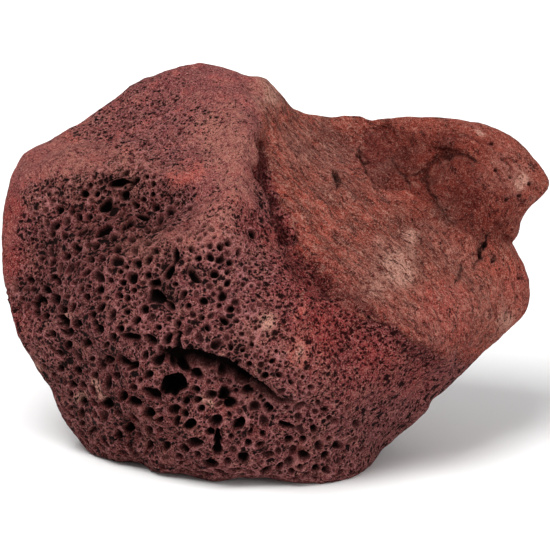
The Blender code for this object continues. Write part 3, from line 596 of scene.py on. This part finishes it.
def zone_masks(points, facing):
    """Where each finish and each patch of painted shade lies, from 0 to 1: drawn outlines and blots in front,
    patches of noise behind.
    """
    places = wavering(points, 7.0, 2.5, SEED + 4)
    wavy = wavering(points, 1.8, 0.6, SEED + 14)
    front = step(facing, -0.25, 0.05)
    recess = front * step(signed_distance(wavy, RECESS_OUTLINE), -0.6, 0.6)
    patches = noise(points, 34.0, SEED + 6)
    broken = 2.2 * noise(points, 4.5, SEED + 22) + 1.6 * noise(points, 2.0, SEED + 23)
    peak_edge = signed_distance(wavy, PEAK_OUTLINE) + broken
    peak = front * step(peak_edge, -1.2, 1.2) + (1 - front) * step(-patches, 0.3, 0.5)
    frayed = 1.5 * noise(points, 3.5, SEED + 19)
    crust_edge = signed_distance(places, CRUST_OUTLINE) + frayed + 2.0 * noise(points, 1.6, SEED + 21)
    crust = front * step(crust_edge, -1.0, 1.0) + (1 - front) * step(patches, 0.3, 0.5)
    unsmooth = 0.45 + 0.6 * blots(places, POROUS_BLOTS) - 0.5 * blots(places, SMOOTH_BLOTS)
    unsmooth += 0.3 * noise(points, 4.0, SEED + 18)
    dished = blots(wavy, [(across, up, length * 0.4, 0.6) for across, up, length, *_ in DISHES])
    bands = 0.7 * np.max([step(distance_to_line(wavy, line), 1.8, 0.5) for line in BANDS], axis=0)
    strips = [dark * step(distance_to_line(wavy, line) + frayed, half, 0.8) for dark, half, line in STAINS_AND_SHADE]
    cracks = [dark * step(distance_to_line(wavy, line), 2.2, 1.0) for dark, line in CRACKS]
    return {
        "crust": crust,
        "peak": peak,
        "tan": front * blots(places, TAN_BLOTS),
        "pale": front * blots(places, PALE_BLOTS),
        "red": front * np.maximum(blots(places, RED_BLOTS), 0.6 * dished),
        # the darker patches, with painted shade over the recess, and the dark layers
        "dark_and_shaded": front * np.max([blots(places, DARK_AND_SHADED_BLOTS), 0.75 * recess, bands], axis=0),
        "recess": recess,
        "porous": 1 - peak * (1 - np.clip(unsmooth, 0, 1)) - dished,
        "fibrous": crust * (1 - front * blots(places, GRANULAR_BLOTS)),
        "grey": front * blots(places, GREY_BLOTS),
        "orange": front * blots(places, ORANGE_BLOTS),
        "hollow": front * blots(wavy, HOLLOWS),
        "strip": front * np.max(strips, axis=0),
        "crack": front * np.max(cracks, axis=0),
        "crack_side": side_of_cracks(wavy),
    }


def roughened(points, normals, facing, masks):
    """The form with its small relief: lumpy noise on the froth, and long low ripples along the crust's fibres.

    Both are lower round the outline. Cracks, hollows, the dark crimson strips and the recess, whose mask ends here,
    are sunk.
    """
    grit = 0.16 * noise(points, 1.3, SEED + 16)
    lumps = 0.8 * noise(points, 5.0, SEED + 8) + 0.35 * noise(points, 2.4, SEED + 9)
    lumps += noise(points, 11.0, SEED + 17)
    combed = points + np.outer(points @ np.array(FIBRE), FIBRE) * (1 / FIBRE_STRETCH - 1)
    ripples = 0.8 * noise(combed, 3.0, SEED + 10)
    ripples += 0.6 * noise(points, 9.0, SEED + 8) + 0.4 * noise(points, 3.2, SEED + 9)
    away = 1 - step(np.abs(facing), 0.05, 0.35)
    relief = (lumps * (1 - masks["crust"]) + ripples * masks["crust"]) * (1 - 0.7 * away) + grit
    relief -= CRACK_DEPTH * masks["crack"] ** 4 + RECESS_STEP * masks.pop("recess")
    relief -= HOLLOW_DEPTH * (masks["hollow"] + masks["strip"])
    return points + normals * relief[:, None]


def pit_at(points, normals, index, size, turn, softness=0.6, is_dish=False):
    """A pit of this length, width and depth on the surface: its middle, two half axes, way in, profile and kind."""
    inward = -normals[index]
    length = np.array([math.cos(math.radians(turn)), math.sin(math.radians(turn)), 0.1])
    length -= inward * (length @ inward)
    length /= np.linalg.norm(length)
    width = np.cross(inward, length)
    return points[index], length * size[0] / 2, width * size[1] / 2, inward * size[2], softness, is_dish


def seen_index(points, facing, across, up):
    """The front point of the skin nearest to this place of the sighting plane."""
    reach = np.hypot(points[:, 0] - across, points[:, 1] - up) + np.where(facing > 0, 0, FAR_AWAY)
    return int(np.argmin(reach))


def seen_round(normal, width, least):
    """How long a pit has to be, and how it has to turn, to look round from in front: its length is the width over
    the share of the normal that points out, which is taken as at least this much."""
    x, y, out = normal
    return width / max(abs(out), least), math.degrees(math.atan2(y, x))


def all_pits(points, normals, facing):
    """Every pit, big ones first: the listed ones, the solid's own scatter, then the finer bubbles between them."""
    pits = []
    taken = np.full((FINE_TRIES, 4), FAR_AWAY)
    random = np.random.default_rng(SEED + 20)

    def room(index):
        """How far off the nearest rim is."""
        others = taken[:len(pits)]
        return (np.linalg.norm(points[index] - others[:, :3], axis=1) - others[:, 3]).min()

    def add(index, size, turn, **more):
        """A pit of this size round this point of the skin."""
        taken[len(pits)] = *points[index], max(size[:2]) / 2
        pits.append(pit_at(points, normals, index, size, turn, **more))

    for across, up, length, width, depth, turn in DISHES:
        add(seen_index(points, facing, across, up), (length, width, depth), turn, softness=1.0, is_dish=True)
    taken[:len(pits)] = FAR_AWAY  # bubbles may lie in the dishes
    for across, up, length, width, depth, turn, softness in HOLES:
        add(seen_index(points, facing, across, up), (length, width, depth), turn, softness=softness)
    for across, up, width in PITS:
        index = seen_index(points, facing, across, up)
        length, turn = seen_round(normals[index], width, PIT_FACING)
        add(index, (length, width * 0.9, width * 0.9), turn)
    for number, (place, diameter) in enumerate(scatter()):
        index = int(np.argmin(((points - place) ** 2).sum(axis=1)))
        if room(index) > diameter / 2 + BUBBLE_WALL:
            add(index, (diameter, diameter * 0.8, diameter * 0.55), number * 40.0)
    tried = random.integers(0, len(points), FINE_TRIES)
    tried = tried[distance_to_line(points[tried, :2] + CREVICE_LOWER, CREVICE) > CREVICE_CLEARANCE]
    widths = FINE_WIDTH * fineness(points[tried], facing[tried]) * (0.3 + 0.7 * random.random(len(tried)) ** 2.2)
    for order in np.argsort(-widths):
        index, width = int(tried[order]), widths[order]
        if width < FINE_LEAST:
            break
        if room(index) > width / 2 + FINE_WALL:
            length, turn = seen_round(normals[index], width, FINE_FACING)
            size = (length * random.uniform(*FINE_LENGTHS), width, width * random.uniform(*FINE_DEPTHS))
            turn += random.uniform(-FINE_TURN, FINE_TURN)
            add(index, size, turn, softness=random.uniform(*FINE_SOFTNESS))
    return pits


def dug(points, pits):
    """The skin with its pits pressed in, the signed distance to the nearest rim, and how deep each point sank.

    A pit's depth is one minus the squared share of the way to its rim, to a power that softens it; noise makes the
    rim ragged. Points very near a rim slide onto it, which keeps it sharp.
    """
    rim = np.full(len(points), FAR_FROM_RIM)
    sunk = np.zeros(len(points))
    ragged = 1 + 0.28 * noise(points, 2.6, SEED + 20) + 0.2 * noise(points, 1.7, SEED + 11)
    for middle, length, width, inward, softness, is_dish in pits:
        reach = np.linalg.norm(length)
        offset = points - middle
        near = np.flatnonzero((offset ** 2).sum(axis=1) < (reach * 1.3 + np.linalg.norm(inward) + 2 * SNAP) ** 2)
        offset = offset[near]
        flat = np.column_stack([offset @ length / (length @ length), offset @ width / (width @ width)])
        share = np.hypot(*flat.T) * ragged[near]
        radius = (reach + np.linalg.norm(width)) / 2
        gap = (share - 1) * radius
        snapped = np.abs(gap) < min(SNAP, SNAP_SHARE * radius)
        slide = flat * np.where(snapped, 1 / np.maximum(share, 1e-6) - 1, 0)[:, None]
        share = np.where(snapped, 1.0, share)
        bowl = np.clip(1 - share ** 2, 0, 1) ** softness
        points[near] += slide @ np.stack([length, width]) + bowl[:, None] * inward
        sunk[near] = np.maximum(sunk[near], bowl * np.linalg.norm(inward))
        if not is_dish:
            rim[near] = np.minimum(rim[near], np.where(snapped, 0.0, gap))
    return points, rim, sunk


def creviced(points, normals, facing, masks):
    """The skin with its crevice pressed in, inwards and up under the lip.

    It ends sharply at the lip above, on a circle's arc, and fades out below, more than twice as far. Its half height
    changes along its run by a quadratic, and noise makes it ragged.
    """
    line = np.array(CREVICE, float)
    along = (points[:, 0] - line[0, 0]) / (line[-1, 0] - line[0, 0])
    beyond = np.abs(along - np.clip(along, 0, 1)) * CREVICE_CLOSE
    level, slope, bend = CREVICE_HALF
    half = CREVICE_GAP * (level + slope * along + bend * along ** 2) * (1 + 0.4 * noise(points, 3.0, SEED + 13))
    half = np.maximum(half, CREVICE_LEAST)
    height = points[:, 1] - np.interp(points[:, 0], *line.T)
    share = np.hypot(np.where(height > 0, height, -height / CREVICE_FADE) / half, beyond)
    share += np.where(facing > 0.2, 0, FAR_AWAY)
    above, below = np.sqrt(np.clip(1 - share ** 2, 0, 1)), np.clip(1 - share, 0, 1) ** CREVICE_TAPER
    bowl = np.where(height > 0, above, below) * CREVICE_DEPTH
    masks["rim"] = np.minimum(masks["rim"], np.where(share < 1, -bowl, (share - 1) * half))
    masks["sunk"] = np.maximum(masks["sunk"], bowl)
    return points + bowl[:, None] * (-normals + np.array((0, CREVICE_LEAN, 0)))


def placed(name, data):
    """A new object with this name and data, in the scene."""
    made = bpy.data.objects.new(name, data)
    bpy.context.scene.collection.objects.link(made)
    return made


def make_skin():
    """The whole stone as one closed piece, with its masks as attributes and its bake map."""
    directions, cells, maps = ball_grid()
    directions = crowd(directions, SKIN_CROWDING)
    facing = directions[:, 2]
    points = form(directions)
    masks = zone_masks(points, facing)
    points = roughened(points, surface_normals(points, cells), facing, masks)
    normals = surface_normals(points, cells)
    points, masks["rim"], masks["sunk"] = dug(points, all_pits(points, normals, facing))
    points = creviced(points, normals, facing, masks)
    mesh = bpy.data.meshes.new("lava_rock_skin")
    mesh.from_pydata(upright(points), [], cells)
    mesh.shade_smooth()
    for name, values in masks.items():
        mesh.attributes.new(name, "FLOAT", "POINT").data.foreach_set("value", values.astype(np.float32))
    mesh.uv_layers.new(name="OFBake").data.foreach_set("uv", maps.astype(np.float32).ravel())
    return placed("lava_rock_skin", mesh)


def worked_out(operation, swapped=False):
    """A method that adds the math node of this operation on a field and another value, or on them swapped."""
    def method(field, *others):
        values = (field, *others)
        return field.shader.node("ShaderNodeMath", {"operation": operation}, values[::-1] if swapped else values)
    return method


class Field:
    """A value that varies over a surface: operators on it add the shader nodes that work them out."""

    def __init__(self, shader, socket):
        self.shader, self.socket = shader, socket

    __add__ = __radd__ = worked_out("ADD")
    __sub__ = worked_out("SUBTRACT")
    __rsub__ = worked_out("SUBTRACT", swapped=True)
    __mul__ = __rmul__ = worked_out("MULTIPLY")
    __abs__ = worked_out("ABSOLUTE")
    at_most = worked_out("MINIMUM")
    at_least = worked_out("MAXIMUM")

    def step(self, low, high):
        """Smooth step from 0 at low to 1 at high; low may be the greater."""
        settings = {"interpolation_type": "SMOOTHSTEP"}
        if low > high:
            return 1 - self.step(high, low)
        return self.shader.node("ShaderNodeMapRange", settings, {"Value": self, "From Min": low, "From Max": high})


class Shader:
    """One material's nodes."""

    def __init__(self, name):
        self.material = bpy.data.materials.new(name)
        self.material.use_nodes = True
        self.tree = self.material.node_tree
        self.surface = self.tree.nodes["Principled BSDF"]

    def node(self, kind, settings=None, inputs=(), output=0):
        """A node of this kind: its settings are set first, then the values or links of its sockets."""
        made = self.tree.nodes.new(kind)
        for name, value in (settings or {}).items():
            setattr(made, name, value)
        for key, value in inputs.items() if isinstance(inputs, dict) else enumerate(inputs):
            self.put(value, made.inputs[key])
        return Field(self, made.outputs[output])

    def put(self, value, socket):
        """A socket's value: a field is linked to it."""
        if isinstance(value, Field):
            self.tree.links.new(value.socket, socket)
        else:
            socket.default_value = value

    def vector(self, operation, *values):
        """This operation on vectors."""
        return self.node("ShaderNodeVectorMath", {"operation": operation}, values)

    def scaled(self, vector, amount):
        """The vector times this amount."""
        return self.node("ShaderNodeVectorMath", {"operation": "SCALE"}, {0: vector, "Scale": amount})

    def attribute(self, name):
        """One of the masks that the piece carries."""
        return self.node("ShaderNodeAttribute", {"attribute_name": name}, output="Fac")

    def noise(self, place, size, detail=2.0, roughness=0.5):
        """Noise from 0 to 1 of this size, in mm."""
        inputs = {"Vector": place, "Scale": 1 / size, "Detail": detail, "Roughness": roughness}
        return self.node("ShaderNodeTexNoise", None, inputs)

    def wobble(self, place, size, amount):
        """The place pushed about by noise of this size, by up to this amount."""
        inputs = {"Vector": place, "Scale": 1 / size}
        push = self.node("ShaderNodeTexNoise", None, inputs, "Color")
        return self.vector("MULTIPLY_ADD", push, (2 * amount,) * 3, self.vector("SUBTRACT", place, (amount,) * 3))

    def drawn_out(self, place, run, stretch):
        """The place turned so that this way of the sighting frame comes first, and squeezed along it: what is worked
        out from it is drawn out that way."""
        x, y, z = upright_way(run)
        turn = (0.0, math.atan2(z, x), math.atan2(-y, math.hypot(x, z)))
        inputs = {"Vector": place, "Rotation": turn}
        turned = self.node("ShaderNodeVectorRotate", {"rotation_type": "EULER_XYZ"}, inputs)
        return self.vector("MULTIPLY", turned, (1 / stretch, 1.0, 1.0))

    def bubbles(self, place, size, least, most, uneven):
        """How far inside a bubble each point lies, in mm, negative outside: cells of this size, each with a bubble
        whose radius is its own share of the cell, less an unevenness that varies along its outline."""
        reach = self.node("ShaderNodeTexVoronoi", None, {"Vector": place, "Scale": 1 / size})
        tint = Field(self, reach.socket.node.outputs["Color"])
        own = self.node("ShaderNodeSeparateColor", None, (tint,))
        return ((own * (most - least) + least) - reach - uneven) * size

    def mix(self, share, first, second):
        """The first colour where share is 0, the second where it is 1."""
        inputs = {"Factor": share, 6: first, 7: second}
        return self.node("ShaderNodeMix", {"data_type": "RGBA"}, inputs, 2)

    def coated(self, colour, coats):
        """The colour under these coats, laid one after another: each is its share, from 0 to 1, and its tone."""
        for share, coat in coats:
            colour = self.mix(share, colour, tone(*coat))
        return colour


def tone(red, green, blue):
    """A colour from display values of 0 to 255."""
    return (*((value / 255) ** 2.2 for value in (red, green, blue)), 1.0)


def red_scoria():
    """Red scoria: maroon froth with dark pores, a brick-coloured fibrous crust, and tan, pale and red stains, with
    painted shade in its pits, pores, cracks, hollows and recess and painted highlights on rims and cracks.
    """
    shader = Shader("red_scoria")
    here = shader.scaled(shader.node("ShaderNodeTexCoord", output="Object"), 1 / MM)
    crust, peak, tan, pale, red, fibrous, porous, rim = map(
        shader.attribute, ("crust", "peak", "tan", "pale", "red", "fibrous", "porous", "rim")
    )
    dark_and_shaded, hollow, orange, grey, strip, sunk, crack, side = map(
        shader.attribute, ("dark_and_shaded", "hollow", "orange", "grey", "strip", "sunk", "crack", "crack_side")
    )
    # the cracks' painted light: a thin painted highlight along one side of each crack, and a dark core with a soft
    # halo of painted shade
    lip = crack * side.step(-1.6, -1.2) * side.step(-0.6, -0.9) * 0.15
    crack = crack * abs(side).step(0.65, 0.2).at_least(abs(side).step(1.7, 0.4) * 0.4)
    speck = 1 - 0.7 * dark_and_shaded.at_least(strip).at_least(red * 0.3)
    combed = shader.drawn_out(shader.wobble(here, 9.0, 2.0), FIBRE, FIBRE_STRETCH)
    combed_short = shader.drawn_out(shader.wobble(here, 5.0, 1.5), FIBRE, 2.5)
    flecks = shader.noise(combed_short, 1.7, 3.0, 0.65)
    patchy = shader.noise(here, 9.0, 4.0, 0.6)
    cloudy = shader.noise(shader.wobble(here, 6.0, 2.0), 7.0, 5.0, 0.7)
    mottle = shader.noise(here, 2.4, 4.0, 0.7)
    grain = shader.noise(here, 0.9, 3.0, 0.7)
    grit = shader.noise(here, 0.4, 2.0, 0.6)
    fibres = shader.noise(combed, 1.2, 4.0, 0.75)
    streaks = shader.noise(combed, 3.2, 3.0, 0.6)

    colour = shader.coated(tone(*MAROON), [
        (peak * (1 - 0.8 * porous), ROSE),  # the peak's dusty skin, with patches of its own
        (peak * cloudy.step(0.5, 0.6) * 0.75, SALMON),
        (peak * cloudy.step(0.5, 0.4) * 0.65, MAROON),
        (crust, BRICK),  # the crust and its long streaks
        (fibrous * streaks.step(0.54, 0.4) * 0.8, UMBER),
        (fibrous * patchy.step(0.52, 0.4) * 0.5, UMBER),
        (fibrous * streaks.step(0.54, 0.7) * 0.5, ORANGE),
        ((dark_and_shaded * (0.5 + patchy)).at_most(1.0), DARK_AND_SHADED),  # the stains, and darker patches that are partly painted shade in the recess and under the brow
        ((red * (0.3 + 1.4 * patchy)).at_most(1.0), RED),
        ((grey * 1.6 * mottle.step(0.36, 0.54)).at_most(0.8), GREY),
        (orange.step(0.25, 0.6) * mottle.step(0.36, 0.5) * 0.8, EMBER),
        ((tan * 1.6 * mottle.step(0.35, 0.62)).at_most(0.85), TAN),
        ((pale * 1.8 * (mottle * 0.4 + grain * 0.3 + streaks * 0.3).step(0.41, 0.52)).at_most(0.9), PALE),
        (patchy.step(0.5, 0.66) * speck * 0.3, TAN),
        # the dark crimson strips, partly stain and partly painted shade in the gutter and under the crust's edge
        ((strip * (0.8 + patchy) * mottle.step(0.3, 0.45)).at_most(0.9), GORE),
        (strip.step(0.5, 1.0) * mottle.step(0.35, 0.5) * 0.45, CLOT),
        ((red * 1.4).at_most(1.0) * mottle.step(0.52, 0.4) * 0.65, GORE),
        (mottle.step(0.46, 0.3) * 0.6, SHADE),  # dark and light flecks, fibres and grains
        (crust * flecks.step(0.46, 0.36) * 0.8, SHADE),
        (crust * flecks.step(0.56, 0.68) * speck * 0.45, PALE),
        (fibrous * fibres.step(0.5, 0.34) * (0.9 - 0.5 * pale), SHADE),
        # the light fibres, with the painted highlight along the cracks laid in with them
        ((fibrous * fibres.step(0.55, 0.7) * speck * 0.6).at_least(lip), PALE),
        (grain.step(0.55, 0.68) * speck * 0.45, PALE),
        (grit.step(0.53, 0.66) * speck * 0.5, PALE),
        (grit.step(0.48, 0.36) * 0.55, SHADE),
        (grain.step(0.46, 0.32) * 0.6, SHADE),
    ])

    froth = (1 - crust) * (0.1 + 0.9 * porous)
    clear = rim.step(-0.1, 0.3)
    wavy = shader.wobble(here, 2.0, 0.6)
    drawn = shader.drawn_out(shader.wobble(here, 1.6, 0.9), PORE_RUN, PORE_STRETCH)
    bloody = red.at_least(strip)
    uneven = (grain - 0.5) * 0.7 + (1 - froth) * 0.5 + bloody * 0.02 - hollow * 0.18 - 0.08
    wide = shader.bubbles(drawn, 2.4, -0.2, 0.62, uneven + (peak + red * 0.5) * 0.2)
    middling = shader.bubbles(drawn, 1.3, 0.0, 0.65, uneven)
    fine = shader.bubbles(wavy, 0.9, 0.1, 0.62, uneven - (1 - froth) * 0.2 - strip * 0.15)
    slits = shader.bubbles(combed, 1.2, -0.25, 0.5, uneven * 0.5) * crust
    bubble = wide.at_least(middling)
    pores = (wide * 1.3).at_least(middling * 2.0).at_least(fine * 2.6).at_least(slits * 3.5).at_least(0.0) * clear
    # painted highlight: a patchy light ring round the painted bubbles and round the rims of the pits
    ring = bubble.step(-0.4, -0.1) * bubble.step(0.05, -0.05) * froth * (0.45 - 0.3 * bloody)
    ring = ring.at_least(rim.step(-0.1, 0.1) * rim.step(0.6, 0.2) * (0.15 + 0.65 * froth)) * mottle.step(0.4, 0.62)
    # with it, patchy painted shade in the hollows
    colour = shader.coated(colour, [(ring * 0.95, RIM_HIGHLIGHT), ((hollow * (0.2 + 1.2 * patchy) * 0.5).at_most(0.7), DEEP_SHADE)])
    # painted shade in the painted pores and in the cracks: near-black, or dark red in the red zones and strips
    deep = shader.mix(bloody, tone(*DEEP_SHADE), tone(*CLOT))
    colour = shader.mix(pores.step(0.0, 0.9).at_least(crack) * 0.97, colour, deep)
    # painted shade inside the pits and the crevice: darker the deeper each point sank
    colour = shader.coated(colour, [(rim.step(0.02, -0.4) * (0.3 + 0.3 * sunk).at_most(0.99), DEEP_SHADE)])
    shader.put(colour, shader.surface.inputs["Base Color"])
    shader.put(0.82 + 0.15 * mottle, shader.surface.inputs["Roughness"])
    shader.surface.inputs["Specular IOR Level"].default_value = 0.08

    height = grain * 1.1 + grit * 0.6 + mottle * 1.6 + fibrous * (fibres * 1.2 + streaks * 2.5) + crust * mottle
    height = height - crack * 0.8 - (pores * 0.6).at_most(0.9)
    normal = shader.node("ShaderNodeBump", None, {"Strength": 1.0, "Distance": MM, "Height": height}, "Normal")
    shader.put(normal, shader.surface.inputs["Normal"])
    return shader.material


def plain_white():
    """The floor's even pale finish."""
    shader = Shader("plain_white")
    shader.surface.inputs["Base Color"].default_value = (0.93, 0.93, 0.93, 1.0)
    shader.surface.inputs["Roughness"].default_value = 0.9
    return shader.material


def make_floor():
    """A pale floor that curves up into a backdrop: a profile, with a quarter circle in it, swept straight across."""
    turns = np.linspace(0, math.pi / 2, 17)
    bend = [(FLOOR_BACK + FLOOR_BEND * math.sin(turn), FLOOR_BEND * (1 - math.cos(turn))) for turn in turns]
    profile = [(-FLOOR_FRONT, 0.0), *bend, (FLOOR_BACK + FLOOR_BEND, BACKDROP_HEIGHT)]
    points = [(x, y, z) for x in (-BACKDROP_HEIGHT, BACKDROP_HEIGHT) for y, z in profile]
    count = len(profile)
    cells = [(i, i + count, i + count + 1, i + 1) for i in range(count - 1)]
    mesh = bpy.data.meshes.new("floor")
    mesh.from_pydata(points, [], cells)
    mesh.shade_smooth()
    mesh.materials.append(plain_white())
    floor = placed("floor", mesh)


def aimed(thing, name, place, target):
    """An object for this camera or light, at this place and looking at the target."""
    made = placed(name, thing)
    made.location = place
    made.rotation_euler = (Vector(target) - Vector(place)).to_track_quat("-Z", "Y").to_euler()
    return made


def soft_light(name, place, size, power, target=(0, 0, 0.06)):
    """A square soft light that looks at the stone, or at another target."""
    light = bpy.data.lights.new(name, "AREA")
    light.size = size
    light.energy = power
    aimed(light, name, place, target)


def make_camera():
    """The camera, looking along the sighting frame."""
    outwards = np.array([0.0, -math.cos(SIGHT_TILT), math.sin(SIGHT_TILT)])
    middle = upright([(*FRAME_MIDDLE, 0.0)])[0]
    camera = bpy.data.cameras.new("camera")
    camera.sensor_width = SENSOR_WIDTH
    camera.lens = SENSOR_WIDTH * CAMERA_DISTANCE / FRAME_WIDTH
    bpy.context.scene.camera = aimed(camera, "camera", middle + outwards * CAMERA_DISTANCE, middle)


def light_studio():
    """Soft light from the upper left in front, a weaker one from the right, and a pale surround."""
    soft_light("backdrop", (0, 1.0, 1.6), 1.6, 40, (0, 2.6, 0.7))
    soft_light("key", (-0.4, -0.7, 1.35), 0.8, 25)
    soft_light("fill", (1.1, -1.2, 0.5), 1.0, 11)
    world = bpy.data.worlds.new("surround")
    world.use_nodes = True
    background = world.node_tree.nodes["Background"]
    background.inputs["Color"].default_value = (1, 1, 1, 1)
    background.inputs["Strength"].default_value = SURROUND
    bpy.context.scene.world = world


stone = make_skin()
stone.data.materials.append(red_scoria())
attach(stone, "root")
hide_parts("lava_rock")
make_floor()
light_studio()
make_camera()
bpy.context.scene.view_settings.view_transform = "Standard"
